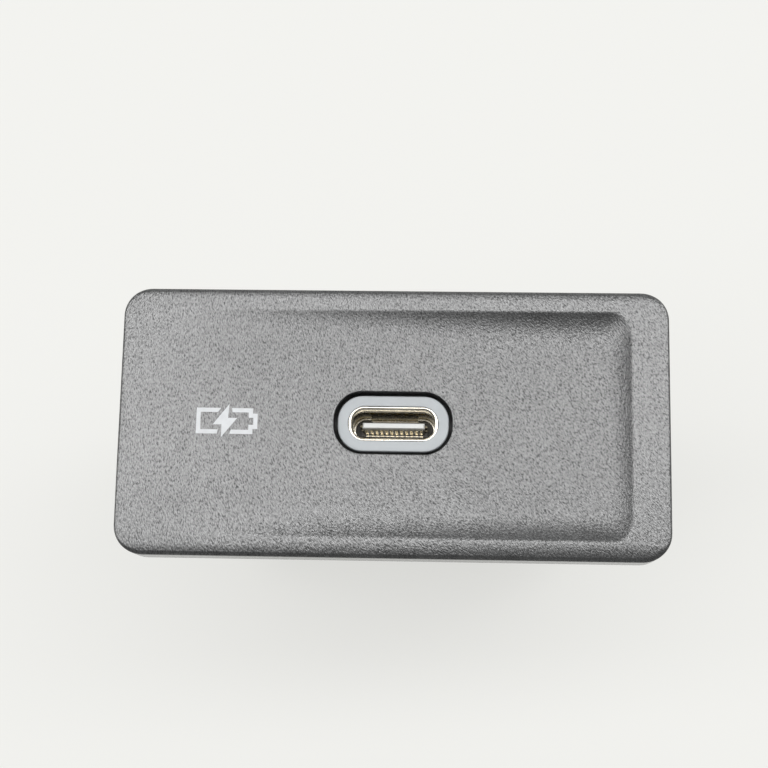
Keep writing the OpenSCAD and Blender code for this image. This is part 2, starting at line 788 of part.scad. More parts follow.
// Tongue with a nose that tapers in thickness and has bevelled corners
module tongue() {
    start = base_z - weld;
    half = tongue_w / 2 - plate_edge;
    intersection() {
        along_x(2 * half) polygon([
            [-tongue_t / 2, start], [tongue_t / 2, start], [tongue_t / 2, tongue_z - tongue_nose],
            [tongue_tip_t / 2, tongue_z], [-tongue_tip_t / 2, tongue_z], [-tongue_t / 2, tongue_z - tongue_nose]
        ]);
        along_y(tongue_t) polygon([
            [-half, start], [half, start], [half, tongue_z - tongue_corner], [half - tongue_corner, tongue_z],
            [tongue_corner - half, tongue_z], [-half, tongue_z - tongue_corner]
        ]);
    }
}

// Thin sleeve that lines the back of the port, with longer ends, and the earth pads on the tongue's root
module collar_form() {
    out = port_h / 2 - shell_fit;
    start = base_z - collar_back;
    difference() {
        around(port_w - 2 * shell_fit, port_h - 2 * shell_fit, out)
            translate([out - collar_t, start]) square([collar_t, collar_back + collar_front + collar_ear]);
        translate([-collar_mid_w / 2, -port_h / 2, base_z + collar_front])
            cube([collar_mid_w, port_h, collar_ear + cut]);
    }
    for (turn = [0, 180]) rotate(turn) translate([-pad_w / 2, root_t / 2 - pad_t, start])
        cube([pad_w, pad_t, base_z + root_len - start]);
}

module emi_collar() color("#cfcabb") collar_form();

// Plate in the middle of the tongue, notched for the plug's latches
module plate_form() {
    front = tongue_z - plate_inset;
    notch_z = front - notch_set;
    half = tongue_w / 2;
    along_y(plate_t) difference() {
        translate([-half, shell_end_z]) square([2 * half, front - shell_end_z]);
        for (x = [-half, half]) translate([x, notch_z - notch_len / 2]) square([2 * notch_d, notch_len], center = true);
    }
}

module mid_plate() color("#b7b6b0") plate_form();

// One bent contact: along the tongue, down behind the base and back along the board
module contact(top, tail) {
    low = top - contact_t;
    tip = tongue_z - contact_inset;
    foot = board_top + contact_t;
    along_x(contact_w) polygon([
        [top, tip], [top, -tail - contact_t], [foot, -tail - contact_t], [foot, -tail - tail_foot],
        [board_top, -tail - tail_foot], [board_top, -tail], [low, -tail], [low, tip]
    ]);
}

module contact_row(top, tail) {
    for (i = [0 : contact_count - 1])
        translate([(i - (contact_count - 1) / 2) * contact_pitch, 0, 0]) contact(top, tail);
}

module upper_form() contact_row(contact_top, upper_tail);
module lower_form() contact_row(contact_t - contact_top, lower_tail);

module upper_contacts() color("#d8b45a") upper_form();
module lower_contacts() color("#d8b45a") lower_form();

// Circuit board

// Board narrowed beside the snap arms, with the holes for its soldered pieces
module circuit_board() color("#2f5a3c") {
    slot_fit = board_fit;
    hole_r = pin_a * 0.8;
    leg_reach = shell_w / 2 + shell_fit + bracket_t / 2;
    difference() {
        translate([0, board_top, 0]) rotate([90, 0, 0]) linear_extrude(board_t) polygon([
            [-board_front_half, board_front_z], [board_front_half, board_front_z],
            [board_front_half, rail_front_z], [board_half, rail_front_z],
            [board_half, board_end_z], [-board_half, board_end_z],
            [-board_half, rail_front_z], [-board_front_half, rail_front_z]
        ]);
        for (x = [-leg_reach, leg_reach], z = bracket_leg_places())
            on_board(x, -z) translate([0, 0, -board_t - cut])
                plan_box(bracket_t + 2 * slot_fit, bracket_leg_w + 2 * slot_fit, board_t + 2 * cut);
        for (x = pin_places()) on_board(x, pin_bend) translate([0, 0, -board_t - cut])
            cylinder(r = hole_r, h = board_t + 2 * cut);
    }
}

module backlight_leds() color("#f2eecb") for (side = [-1, 1]) {
    body_l = led_w / 2;
    lens_l = led_w / 4;
    on_board(side * guide_x, led_depth) {
        translate([0, lens_l + body_l / 2, 0]) plan_box(led_w, body_l, led_h);
        translate([0, lens_l / 2 + weld / 4, led_h / 8]) plan_box(led_w * 0.8, lens_l + weld / 2, led_h * 0.75);
    }
}

// Harness header

function pin_places() = [for (i = [0 : pin_count - 1]) (i - (pin_count - 1) / 2) * pin_pitch];

module harness_header() color("#1f2022") {
    w = (pin_count - 1) * pin_pitch + 2 * header_end;
    hole = pin_a + 2 * pin_fit;
    difference() {
        on_board(0, header_front + header_len / 2) plan_box(w, header_len, header_h);
        for (x = pin_places()) translate([x - hole / 2, -hole / 2, -header_front - header_len - cut])
            cube([hole, hole, header_len + 2 * cut]);
    }
}

// Square pins, bent down through the board in front of the header and pointed at the plug's end
module harness_pins() color("#c9c2a8") for (x = pin_places()) {
    half = pin_a / 2;
    point = pin_a / 3;
    tip_z = shroud_z + pin_inset;
    bend_z = -pin_bend;
    translate([x, 0, 0]) along_x(pin_a) polygon([
        [half, bend_z], [half - point / 2, bend_z + half], [solder_y, bend_z + half], [solder_y, bend_z - half],
        [-half, bend_z - half], [-half, tip_z + point], [point - half, tip_z], [half - point, tip_z],
        [half, tip_z + point]
    ]);
}

// Components

// Moulded square inductor, raised on its terminals
module power_inductor() color("#3a3a3c") on_board(inductor_a / 2 - edge_x, mid_row) {
    bevel = inductor_bevel;
    half = inductor_a / 2 - lead_t;
    translate([0, 0, lead_t]) linear_extrude(inductor_h - lead_t) polygon([
        [half, bevel - half], [half, half - bevel], [half - bevel, half], [bevel - half, half],
        [-half, half - bevel], [-half, bevel - half], [bevel - half, -half], [half - bevel, -half]
    ]);
}

// Tinned terminals folded under and up the ends of the inductor
module inductor_terminals() color("#c4c6c8") on_board(inductor_a / 2 - edge_x, mid_row) {
    w = inductor_a * 0.4;
    under = inductor_a * 0.25;
    up = inductor_h * 0.35;
    half = inductor_a / 2;
    for (turn = [0, 180]) rotate(turn) along_y(w) polygon([
        [half - under, 0], [half, 0], [half, up], [half - lead_t, up], [half - lead_t, lead_t],
        [half - under, lead_t]
    ]);
}

// Aluminium can with its crimp groove
module capacitor_can() color("#c9cbcd") on_board(edge_x - can_d / 2, mid_row) {
    r = can_d / 2;
    crimp_z = can_base_h + can_crimp_up;
    rotate_extrude() polygon([
        [0, can_base_h], [r, can_base_h], [r, crimp_z - can_crimp], [r - can_crimp, crimp_z],
        [r, crimp_z + can_crimp], [r, can_h - can_shoulder], [r - can_shoulder, can_h], [0, can_h]
    ]);
}

// Moulded base under the can, bevelled on the side of its positive lead
module capacitor_base() color("#1d1d1f") on_board(edge_x - can_d / 2, mid_row) {
    half = can_d / 2;
    bevel = can_base_bevel;
    linear_extrude(can_base_h) polygon([
        [-half, -half], [half, -half], [half, half - bevel], [half - bevel, half], [bevel - half, half],
        [-half, half - bevel]
    ]);
}

// Converter chip and its gull-wing leads, left of the middle
chip_x = -(choke_d / 2 + chip_w);

module converter_chip() color("#242527") on_board(chip_x, mid_row) {
    difference() {
        translate([0, 0, chip_stand]) plan_box(chip_w, chip_l, chip_h - chip_stand);
        translate([-chip_w / 2 + 3 * dimple_r, -chip_l / 2 + 3 * dimple_r, chip_h - dimple])
            cylinder(r = dimple_r, h = dimple + cut);
    }
}

module converter_leads() color("#c4c6c8") on_board(chip_x, mid_row) {
    half = chip_w / 2;
    mid = chip_h / 2;
    bend = half + chip_lead_step;
    toe = bend + chip_lead_foot;
    for (turn = [0, 180], i = [-1.5 : 1.5]) rotate(turn) translate([0, i * chip_pitch, 0])
        along_y(chip_lead_w) polygon([
            [half, mid], [bend, mid], [bend, lead_t], [toe, lead_t], [toe, 0], [bend - lead_t, 0],
            [bend - lead_t, mid - lead_t], [half, mid - lead_t]
        ]);
}

// Flat leadless chip right behind the receptacle
module port_controller() color("#28292b") on_board(0, front_row) {
    difference() {
        plan_box(controller_a, controller_a, controller_h);
        translate([-controller_a / 2 + 3 * dimple_r, -controller_a / 2 + 3 * dimple_r, controller_h - dimple])
            cylinder(r = dimple_r, h = dimple + cut);
    }
}

// Drum core of the filter choke, with the coil wound between its flanges
choke_x = choke_d / 2 + choke_off;
choke_hub_r = choke_d / 4;

module choke_core() color("#4a4744") on_board(choke_x, mid_row) {
    r = choke_d / 2;
    rotate_extrude() polygon([
        [0, 0], [r, 0], [r, choke_lip], [choke_hub_r, choke_lip], [choke_hub_r, choke_h - choke_lip],
        [r, choke_h - choke_lip], [r, choke_h], [0, choke_h]
    ]);
}

module choke_winding() color("#b5713b") on_board(choke_x, mid_row) {
    out = choke_d / 2 - choke_inset;
    rotate_extrude() translate([choke_hub_r, choke_lip])
        square([out - choke_hub_r, choke_h - 2 * choke_lip]);
}

// Surge diode beside the header, with leads folded under its ends
diode_x = diode_l / 2 + lead_t - edge_x;

module surge_diode() color("#232426") on_board(diode_x, rear_row) {
    half = diode_l / 2;
    end = half - diode_taper;
    along_y(diode_w) polygon([
        [-end, lead_t], [end, lead_t], [half, diode_h / 2], [end, diode_h], [-end, diode_h], [-half, diode_h / 2]
    ]);
}

module diode_leads() color("#c4c6c8") on_board(diode_x, rear_row) {
    half = diode_l / 2;
    for (turn = [0, 180]) rotate(turn) along_y(diode_w * 0.6) polygon([
        [half - diode_under, 0], [half + lead_t, 0], [half + lead_t, diode_h / 2], [half, diode_h / 2],
        [half, lead_t], [half - diode_under, lead_t]
    ]);
}

// Chip component: a body between two slightly larger end caps
module chip_part(length, width, height, cap) {
    translate([0, 0, cap_skin]) plan_box(length - cap, width - 2 * cap_skin, height - 2 * cap_skin);
    for (side = [-1, 1]) translate([side * (length - cap) / 2, 0, 0]) plan_box(cap, width, height);
}

module ceramic_capacitors() color("#b08d62") {
    pitch = cap_w + chip_gap;
    first_row = mid_row + can_d / 2 + part_gap + cap_w / 2;
    for (i = [0 : 3]) on_board(edge_x - cap_l, first_row + i * pitch) chip_part(cap_l, cap_w, cap_h, cap_end);
    for (side = [-1, 1], end = [-1, 1])
        on_board(side * (controller_a / 2 + part_gap + cap_l / 2), front_row + end * pitch / 2)
            chip_part(cap_l, cap_w, cap_h, cap_end);
}

module chip_resistors() color("#2c2d33") {
    pitch = res_w + 2 * chip_gap;
    first_x = controller_a / 2 + 2 * part_gap + cap_l + res_w;
    for (side = [-1, 1], i = [0 : 2]) on_board(side * (first_x + i * pitch), front_row)
        rotate(90) chip_part(res_l, res_w, res_h, res_end);
}

front_bezel();
port_surround();
rear_housing();
receptacle_shell();
receptacle_bracket();
receptacle_insulator();
emi_collar();
mid_plate();
upper_contacts();
lower_contacts();
circuit_board();
backlight_leds();
harness_header();
harness_pins();
power_inductor();
inductor_terminals();
capacitor_can();
capacitor_base();
converter_chip();
converter_leads();
port_controller();
choke_core();
choke_winding();
surge_diode();
diode_leads();
ceramic_capacitors();
chip_resistors();
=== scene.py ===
"""Looks of a panel-mount USB-C charging socket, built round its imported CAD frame.

The face that shows is rebuilt as lofted skins: the coved bezel, the grey port ring and the steel mouth.
Sizes are in millimetres unless a comment says otherwise, and repeat the CAD source's where it has them.
Meshes are made in metres.
"""

import json
import math

import bmesh
import bpy
from mathutils import Matrix, Vector


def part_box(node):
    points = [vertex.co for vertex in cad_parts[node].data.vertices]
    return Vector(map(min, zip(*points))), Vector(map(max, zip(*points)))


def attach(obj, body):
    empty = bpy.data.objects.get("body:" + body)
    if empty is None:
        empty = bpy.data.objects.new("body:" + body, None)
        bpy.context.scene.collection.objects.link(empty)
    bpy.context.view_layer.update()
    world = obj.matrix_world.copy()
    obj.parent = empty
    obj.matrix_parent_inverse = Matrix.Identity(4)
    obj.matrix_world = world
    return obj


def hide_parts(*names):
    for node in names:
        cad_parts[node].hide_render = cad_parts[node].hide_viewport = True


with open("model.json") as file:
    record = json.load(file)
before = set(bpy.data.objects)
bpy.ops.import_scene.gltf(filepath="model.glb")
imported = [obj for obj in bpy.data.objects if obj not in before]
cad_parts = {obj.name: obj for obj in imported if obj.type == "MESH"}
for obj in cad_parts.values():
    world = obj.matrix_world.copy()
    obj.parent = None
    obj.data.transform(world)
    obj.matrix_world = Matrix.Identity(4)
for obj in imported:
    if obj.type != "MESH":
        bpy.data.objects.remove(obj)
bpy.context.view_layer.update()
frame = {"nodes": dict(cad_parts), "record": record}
nodes = frame["nodes"]

MM = 0.001

# Bezel
HALF_W, HALF_H = 27.2, 13.35
FACE_Z = 4.38
BACK_Z = 2.0
CORNER_R, LEAST_CORNER_R = 2.8, 0.4
EDGE_R = 0.27
SKIRT_T = 1.8
FOOT_EDGE = 0.12
BROW_R = 3.2
BROW_TOP, BROW_TOP_GROWTH = 0.8, 0.3
BROW_BOTTOM, BROW_BOTTOM_GROWTH = 1.15, 0.55
LOWER_FALL_Y, LOWER_FALL_R = -3.3, 230
GRAIN_END_Z = 3.3

# Recess in the bezel's face
RECESS_RIGHT, RECESS_LEFT = 23.5, -26.2
RECESS_HALF_H, RECESS_Y = 11.35, -0.08
RECESS_DEPTH = 0.95
RECESS_CORNER_X, RECESS_CORNER_Y = 1.8, 2.6
CORNER_SHRINK = 0.95
COVE_W = 3.6
COVE_POWER = 2.6
CREST = 0.05
RAMP_START, RAMP_END = -26.0, 15.3
RAMP_BLEND = 0.07

# Port, from the bezel's hole inward
HOLE_W, HOLE_H, HOLE_R = 11.76, 6.28, 2.86
HOLE_EDGE = 0.06
RING_W, RING_H, RING_R = 11.04, 5.56, 2.5
RING_Z = 3.2
RING_EDGE, RING_SHOULDER = 0.15, 0.1
RING_OPEN_W, RING_OPEN_H = 8.96, 3.46
RING_LIP = 0.1
FLANGE_W, FLANGE_H, FLANGE_R = 20.24, 8.36, 1.2
FLANGE_TOP, FLANGE_BOTTOM = 2.0, 1.0
MOUTH_Z = 3.05
PORT_W, PORT_H = 8.34, 2.56
END_FLAT = 0.02
TUBE_T = 0.25
LIP_X, LIP_Y = 0.23, 0.12
LIP_OUT_X, LIP_OUT_Y = 0.25, 0.41
LIP_ROUND, LIP_D = 0.03, 0.2
LEDGE_Z, LEDGE_X, LEDGE_Y, LEDGE_T = 2.1, 0.03, 0.115, 0.08
LEDGE_EDGE, LEDGE_TAPER = 0.01, 0.3
# Faces of the tube behind the ledge above this Y get painted shade; the bottom wall stays bright steel
PAINTED_SHADE_ABOVE_Y = -1.0

# Room between a skin and what is cut from the CAD node behind it
CUT_ROOM, SIDE_ROOM = 0.002, 0.01

# Charging mark printed on the face
INK_T = 0.012
MARK_LEFT, MARK_RIGHT, MARK_TIP = -19.47, -13.87, -13.4
MARK_TOP, MARK_BOTTOM = 1.21, -1.37
MARK_LINE = 0.42
TIP_TOP, TIP_BOTTOM = 0.68, -0.86
BOLT = [(-16.23, 1.62), (-17.82, -0.44), (-16.96, -0.43),
        (-16.97, -1.72), (-15.43, 0.22), (-16.33, 0.21)]
MARK_STEP = 0.5

# Where the mark's outline breaks for the bolt: both edges of its top line, then both of its bottom line
BREAK_LEFT = (-17.04, -17.34, -17.32, -17.38)
BREAK_RIGHT = (-15.95, -15.91, -16.01, -16.17)

# Camera, from the lines of the bezel and the port
CAMERA_AT = Vector((5.416, -24.995, 153.099)) * MM
CAMERA_AIM = Vector((-0.939, 3.768, 4.4)) * MM
CAMERA_ROLL = math.radians(1.136)
CAMERA_LENS, CAMERA_SENSOR = 71.883, 36
CAMERA_CLIP = (0.01, 10)  # metres

# Floor, in metres. Its glow shows to the camera and in reflections, where it fades from NEAR_Y to FAR_Y
STAND_Z = -44.0 * MM
FLOOR_HALF = 1.5
FLOOR_COLOUR = (0.24, 0.24, 0.234)
GLOW_COLOUR = (1.0, 1.0, 0.965)
FLOOR_GLOW, FAR_GLOW = 0.635, 0.1
FAR_Y, NEAR_Y = -0.065, -0.033

# Lamps: direction from the bezel, distance, width and height in metres, and radiance, where 1 is white
SOFTBOXES = {
    "softbox_core": ((-0.02, 0.235, 1), 0.7, 1.2, 0.14, 4.6),
    "softbox_wings": ((-0.02, 0.07, 1), 0.72, 2.2, 0.44, 1.95),
}

# Surround: its strength grows with the height along an axis that leans back
SKY_AXIS = (0, 0.5, 0.87)
SKY_FROM, SKY_TO = 0.2, 0.75
SKY_LOW, SKY_HIGH = 0.06, 0.4
BACKDROP = 0.75


# Mesh helpers

SHARP_ANGLE = math.radians(35)
ALL_SMOOTH = math.pi
SAME_POINT = 1e-7


def outline(centre_x, half_x, half_y, corner_x, corner_y, steps):
    """Points round a rectangle with elliptical corners, anticlockwise from the right side's top."""
    corner_steps, long_steps, short_steps = steps
    turns = [(1, 1), (-1, 1), (-1, -1), (1, -1)]
    arcs = []
    for quarter, (side_x, side_y) in enumerate(turns):
        at_x = centre_x + side_x * (half_x - corner_x)
        at_y = side_y * (half_y - corner_y)
        angles = [math.pi / 2 * (quarter + i / corner_steps) for i in range(corner_steps + 1)]
        arcs.append([(at_x + corner_x * math.cos(a), at_y + corner_y * math.sin(a)) for a in angles])
    points = []
    for quarter, arc in enumerate(arcs):
        points += arc
        start, end = arc[-1], arcs[(quarter + 1) % 4][0]
        count = long_steps if quarter % 2 == 0 else short_steps
        points += [between(start, end, i / count) for i in range(1, count)]
    return points


def between(a, b, t):
    return tuple(p + (q - p) * t for p, q in zip(a, b))


def between_rings(a, b, t):
    return [between(p, q, t) for p, q in zip(a, b)]


def level(points, z):
    return [(x, y, z) for x, y in points]


def round_edge(radius, steps):
    """Steps of a quarter round: how far each one lies from the side, and how far below the top."""
    turns = [math.pi / 2 * i / steps for i in range(steps + 1)]
    return [(radius * (1 - math.cos(turn)), radius * (1 - math.sin(turn))) for turn in turns]


def loft(rings):
    """Closed quad skin through rings of equal length; the last ring joins the first."""
    count = len(rings[0])
    verts = [p for ring in rings for p in ring]
    faces = []
    for i in range(len(rings)):
        j = (i + 1) % len(rings)
        for k in range(count):
            m = (k + 1) % count
            faces.append((i * count + k, j * count + k, j * count + m, i * count + m))
    return verts, faces


def mesh_from(verts, faces):
    made = bmesh.new()
    placed = [made.verts.new(Vector(v) * MM) for v in verts]
    for face in faces:
        made.faces.new([placed[i] for i in face])
    bmesh.ops.recalc_face_normals(made, faces=made.faces)
    return made


def cut_mesh(made, at, normal, clear_outer=False):
    everything = made.verts[:] + made.edges[:] + made.faces[:]
    bmesh.ops.bisect_plane(made, geom=everything, dist=SAME_POINT, plane_co=at, plane_no=normal,
                           clear_outer=clear_outer)


def piece(name, made, material, stands_for=None, sharp=SHARP_ANGLE):
    """Turns a finished mesh into a piece of the object that rides on its one body.

    Edges that turn by more than the sharp angle stay sharp. None leaves the whole piece flat shaded.
    """
    data = bpy.data.meshes.new(name)
    made.to_mesh(data)
    made.free()
    obj = bpy.data.objects.new(name, data)
    bpy.context.scene.collection.objects.link(obj)
    data.materials.append(material)
    if sharp is not None:
        data.shade_smooth()
        data.set_sharp_from_angle(angle=sharp)
        normals = obj.modifiers.new("face_weighted_normals", "WEIGHTED_NORMAL")
        normals.keep_sharp = True
    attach(obj, "root")
    if stands_for:
        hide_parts(stands_for)
    return obj


# Material helpers

NOISE_TILT = (0.55, 0.4, 0)
NOISE_LOW, NOISE_HIGH = 0.3, 0.7
PIT_TOP = 0.64


def add_node(tree, kind, **values):
    """Adds a shader node and sets its named inputs or properties."""
    made = tree.nodes.new(kind)
    for key, value in values.items():
        if key in made.inputs:
            made.inputs[key].default_value = value
        else:
            setattr(made, key, value)
    return made


def wire(tree, source, target):
    tree.links.new(source, target)


def new_material(name):
    made = bpy.data.materials.new(name)
    made.use_nodes = True
    tree = made.node_tree
    tree.nodes.clear()
    shader = add_node(tree, "ShaderNodeBsdfPrincipled")
    output = add_node(tree, "ShaderNodeOutputMaterial")
    wire(tree, shader.outputs["BSDF"], output.inputs["Surface"])
    return made, tree, shader


def object_space(tree, stretch=(1, 1, 1), turn=None):
    """Object coordinates, turned in plan, stretched and then tilted.

    turn is two angles and the two places along X between which the first changes to the second. The
    tilt keeps the planes of a noise's own grid from showing as level lines on a slope.
    """
    place = add_node(tree, "ShaderNodeTexCoord")
    turned = add_node(tree, "ShaderNodeVectorRotate", rotation_type="Z_AXIS")
    scaled = add_node(tree, "ShaderNodeVectorMath", operation="MULTIPLY")
    scaled.inputs[1].default_value = stretch
    wire(tree, place.outputs["Object"], turned.inputs["Vector"])
    if turn:
        first, second, first_x, second_x = turn
        axes = add_node(tree, "ShaderNodeSeparateXYZ")
        wire(tree, place.outputs["Object"], axes.inputs["Vector"])
        angle = spread(tree, axes.outputs["X"], first, second, first_x * MM, second_x * MM)
        wire(tree, angle, turned.inputs["Angle"])
    wire(tree, turned.outputs["Vector"], scaled.inputs[0])
    tilted = add_node(tree, "ShaderNodeVectorRotate", rotation_type="EULER_XYZ", Rotation=NOISE_TILT)
    wire(tree, scaled.outputs["Vector"], tilted.inputs["Vector"])
    return tilted.outputs["Vector"]


def noise(tree, space, size_mm, detail=2.0):
    """Noise whose features are about size_mm across."""
    made = add_node(tree, "ShaderNodeTexNoise", Scale=1 / (size_mm * MM), Detail=detail)
    wire(tree, space, made.inputs["Vector"])
    return made.outputs["Fac"]


def spread(tree, value, low, high, source_low=NOISE_LOW, source_high=NOISE_HIGH):
    """Maps a value's range, or else a noise's usual one, to low and high."""
    ends = {"From Min": source_low, "From Max": source_high, "To Min": low, "To Max": high}
    made = add_node(tree, "ShaderNodeMapRange", **ends)
    wire(tree, value, made.inputs["Value"])
    return made.outputs["Result"]


def blend_colours(tree, value, first, second):
    """Mixes two colours, each a list of numbers or another node's output."""
    made = add_node(tree, "ShaderNodeMix", data_type="RGBA")
    ends = [socket for socket in made.inputs if socket.type == "RGBA"]
    for socket, colour in zip(ends, (first, second)):
        if isinstance(colour, bpy.types.NodeSocket):
            wire(tree, colour, socket)
        else:
            socket.default_value = (*colour, 1)
    wire(tree, value, made.inputs["Factor"])
    return next(o for o in made.outputs if o.type == "RGBA")


def surface(name, colour, vary=0.12, rough=(0.4, 0.5), metallic=0.0, specular=0.5, ior=1.5,
            blotch=1.5, grain=0.3, relief=0.01, stretch=(1, 1, 1), turn=None, detail=2.0, below=None,
            deeper=None, pits=None, edge=None):
    """A procedural finish: mottled colour, uneven gloss and a relief, with sizes in millimetres.

    below is a second colour and the two levels between which the first fades to it; it is used for
    painted shade and painted light that change with depth. deeper is how many times deeper the relief
    gets, and the two levels between which it does. pits is the specular level in the pits of the relief.
    edge is the tint of what a metal mirrors at a low angle.
    """
    made, tree, shader = new_material(name)
    space = object_space(tree, stretch, turn)
    mottle = noise(tree, space, blotch, detail=3.0)
    dark = [c * (1 - vary) for c in colour]
    light = [min(1.0, c * (1 + vary)) for c in colour]
    tone = blend_colours(tree, spread(tree, mottle, 0, 1), dark, light)
    axes = add_node(tree, "ShaderNodeSeparateXYZ")
    wire(tree, add_node(tree, "ShaderNodeTexCoord").outputs["Object"], axes.inputs["Vector"])
    if below:
        low_colour, low_z, high_z = below
        height = spread(tree, axes.outputs["Z"], 0, 1, low_z * MM, high_z * MM)
        tone = blend_colours(tree, height, low_colour, tone)
    wire(tree, tone, shader.inputs["Base Color"])
    fine = noise(tree, space, grain, detail=detail)
    wire(tree, spread(tree, fine, *rough), shader.inputs["Roughness"])
    bump = add_node(tree, "ShaderNodeBump", Strength=1.0, Distance=relief * MM)
    if deeper:
        times, low_z, high_z = deeper
        scaled = add_node(tree, "ShaderNodeMath", operation="MULTIPLY")
        # The height is centred on 0 first, so that only its depth changes with the level
        wire(tree, spread(tree, fine, -0.5, 0.5, 0, 1), scaled.inputs[0])
        wire(tree, spread(tree, axes.outputs["Z"], times, 1, low_z * MM, high_z * MM), scaled.inputs[1])
        wire(tree, scaled.outputs[0], bump.inputs["Height"])
    else:
        wire(tree, fine, bump.inputs["Height"])
    wire(tree, bump.outputs["Normal"], shader.inputs["Normal"])
    shader.inputs["Metallic"].default_value = metallic
    shader.inputs["Specular IOR Level"].default_value = specular
    if pits is not None:
        gloss = spread(tree, fine, pits, specular, NOISE_LOW, PIT_TOP)
        wire(tree, gloss, shader.inputs["Specular IOR Level"])
    shader.inputs["IOR"].default_value = ior
    if edge:
        shader.inputs["Specular Tint"].default_value = (*edge, 1)
    return made


BEZEL_COLOUR = (0.052, 0.053, 0.053)
FINISHES = {
    "bezel_plastic": dict(
        colour=BEZEL_COLOUR, vary=0.2, rough=(0.24, 0.42), specular=1.0, ior=1.88, grain=0.12,
        relief=0.05, stretch=(1, 0.45, 1), turn=(-0.05, -0.65, -20, 8), detail=3.0,
        deeper=(1.4, 4.1, 4.36), pits=0.14),
    # Painted shade: below its face the ring turns black, for the dark slit round it
    "ring_plastic": dict(
        colour=(0.44, 0.465, 0.48), vary=0.03, rough=(0.45, 0.55), grain=0.5, relief=0.002,
        below=((0.02, 0.02, 0.02), 2.4, 2.7)),
    "housing_plastic": dict(
        colour=(0.02, 0.0205, 0.022), rough=(0.42, 0.58), grain=0.25, relief=0.015),
    # Painted light: the steel turns paler deeper in the port, so the dim inside reads lit and throws
    # more light at the contacts
    "port_steel": dict(
        colour=(0.66, 0.62, 0.54), vary=0.06, rough=(0.16, 0.26), metallic=1.0, grain=0.2, relief=0.001,
        stretch=(1, 1, 0.15), below=((0.85, 0.82, 0.74), 0.2, 1.6)),
    # Painted shade: the insulator fades to near black deeper in the port, where the shade falls
    "insulator_plastic": dict(
        colour=(0.6, 0.61, 0.6), vary=0.04, rough=(0.35, 0.45), grain=0.2, relief=0.002,
        below=((0.12, 0.11, 0.095), 1.45, 1.9)),
    "contact_gold": dict(
        colour=(0.95, 0.76, 0.42), vary=0.08, rough=(0.22, 0.32), metallic=1.0, grain=0.15, relief=0.001,
        stretch=(1, 1, 0.2)),
    "board_laminate": dict(
        colour=(0.02, 0.11, 0.035), rough=(0.3, 0.42), grain=0.3, relief=0.004),
    "led_resin": dict(
        colour=(0.8, 0.74, 0.45), vary=0.06, rough=(0.2, 0.3), grain=0.3, relief=0.002),
    "tinned_metal": dict(
        colour=(0.66, 0.65, 0.61), vary=0.07, rough=(0.28, 0.42), metallic=1.0, grain=0.2, relief=0.003),
    "ferrite": dict(
        colour=(0.045, 0.043, 0.041), rough=(0.5, 0.68), grain=0.12, relief=0.012),
    "can_aluminium": dict(
        colour=(0.74, 0.75, 0.76), vary=0.04, rough=(0.24, 0.34), metallic=1.0, grain=0.2, relief=0.002,
        stretch=(1, 0.1, 1)),
    "chip_epoxy": dict(
        colour=(0.02, 0.02, 0.021), rough=(0.45, 0.6), grain=0.1, relief=0.006),
    "copper_wire": dict(
        colour=(0.6, 0.24, 0.09), vary=0.1, rough=(0.22, 0.34), metallic=1.0, grain=0.3, relief=0.03,
        stretch=(0.05, 1, 0.05)),
    "ceramic": dict(
        colour=(0.4, 0.26, 0.14), rough=(0.4, 0.55), grain=0.1, relief=0.004),
    "resistor_film": dict(
        colour=(0.03, 0.03, 0.036), rough=(0.25, 0.4), grain=0.2, relief=0.002),
}
MATERIALS = {name: surface(name, **finish) for name, finish in FINISHES.items()}
SMOOTH_SIDE = surface("bezel_side", BEZEL_COLOUR, rough=(0.14, 0.2), specular=0.6, relief=0.001)
# Dark steel that paints the shade inside the port: on the tube behind the ledge and on the mid plate
PAINTED_SHADE_STEEL = surface("painted_shade_steel", (0.05, 0.044, 0.03), vary=0.3, rough=(0.2, 0.3), metallic=1.0,
                       grain=0.4, relief=0.002, blotch=0.9, edge=(0.38, 0.34, 0.26))
INK = surface("white_ink", (0.64, 0.655, 0.67), vary=0.05, rough=(0.45, 0.55), grain=0.3, relief=0.006,
              blotch=0.6)


# Bezel skin

def soft_clamp(t, soft):
    """Ramp from 0 to 1 whose two ends are rounded."""
    if t < -soft:
        return 0.0
    if t < soft:
        return (t + soft) ** 2 / (4 * soft)
    if t < 1 - soft:
        return t
    if t < 1 + soft:
        return 1 - (1 + soft - t) ** 2 / (4 * soft)
    return 1.0


def ramp(x):
    """Share of the recess's full depth at x."""
    return soft_clamp((x - RAMP_START) / (RAMP_END - RAMP_START), RAMP_BLEND)


def recess_drop(x, inward):
    """Depth of the recess at x, where inward runs from 0 at its edge to 1 at the foot of the cove."""
    if inward < -CREST:
        return 0.0
    inside = min(max(inward, 0.0), 1.0)
    rounding = (CREST - abs(inward)) ** 2 / (4 * CREST) if abs(inward) < CREST else 0.0
    wall = 1 - (1 - inside) ** COVE_POWER
    return RECESS_DEPTH * ramp(x) * (wall + COVE_POWER * rounding)


def brow_drop(x, y):
    """Fall of the face towards its upper and lower edges, wider beside the deep end of the recess.

    Below the port the whole face falls a little too.
    """
    past_top = max(y - (HALF_H - BROW_TOP - BROW_TOP_GROWTH * ramp(x)), 0.0)
    past_bottom = max(-y - (HALF_H - BROW_BOTTOM - BROW_BOTTOM_GROWTH * ramp(x)), 0.0)
    below_port = max(LOWER_FALL_Y - y, 0.0)
    return (past_top ** 2 + past_bottom ** 2) / (2 * BROW_R) + below_port ** 2 / (2 * LOWER_FALL_R)


BEZEL_STEPS = (12, 64, 24)

# Where the skin's rings lie: across the recess's floor, then up its cove, then over the rim
FLOOR_SHARES = (0.06, 0.15, 0.3, 0.5, 0.7, 0.85, 1)
COVE_SHARES = [0.95 - 0.05 * i for i in range(16)] + [0.175 - 0.025 * i for i in range(10)]
RIM_RINGS = 10
COVE_FOOT, OUTSIDE = 1, -1


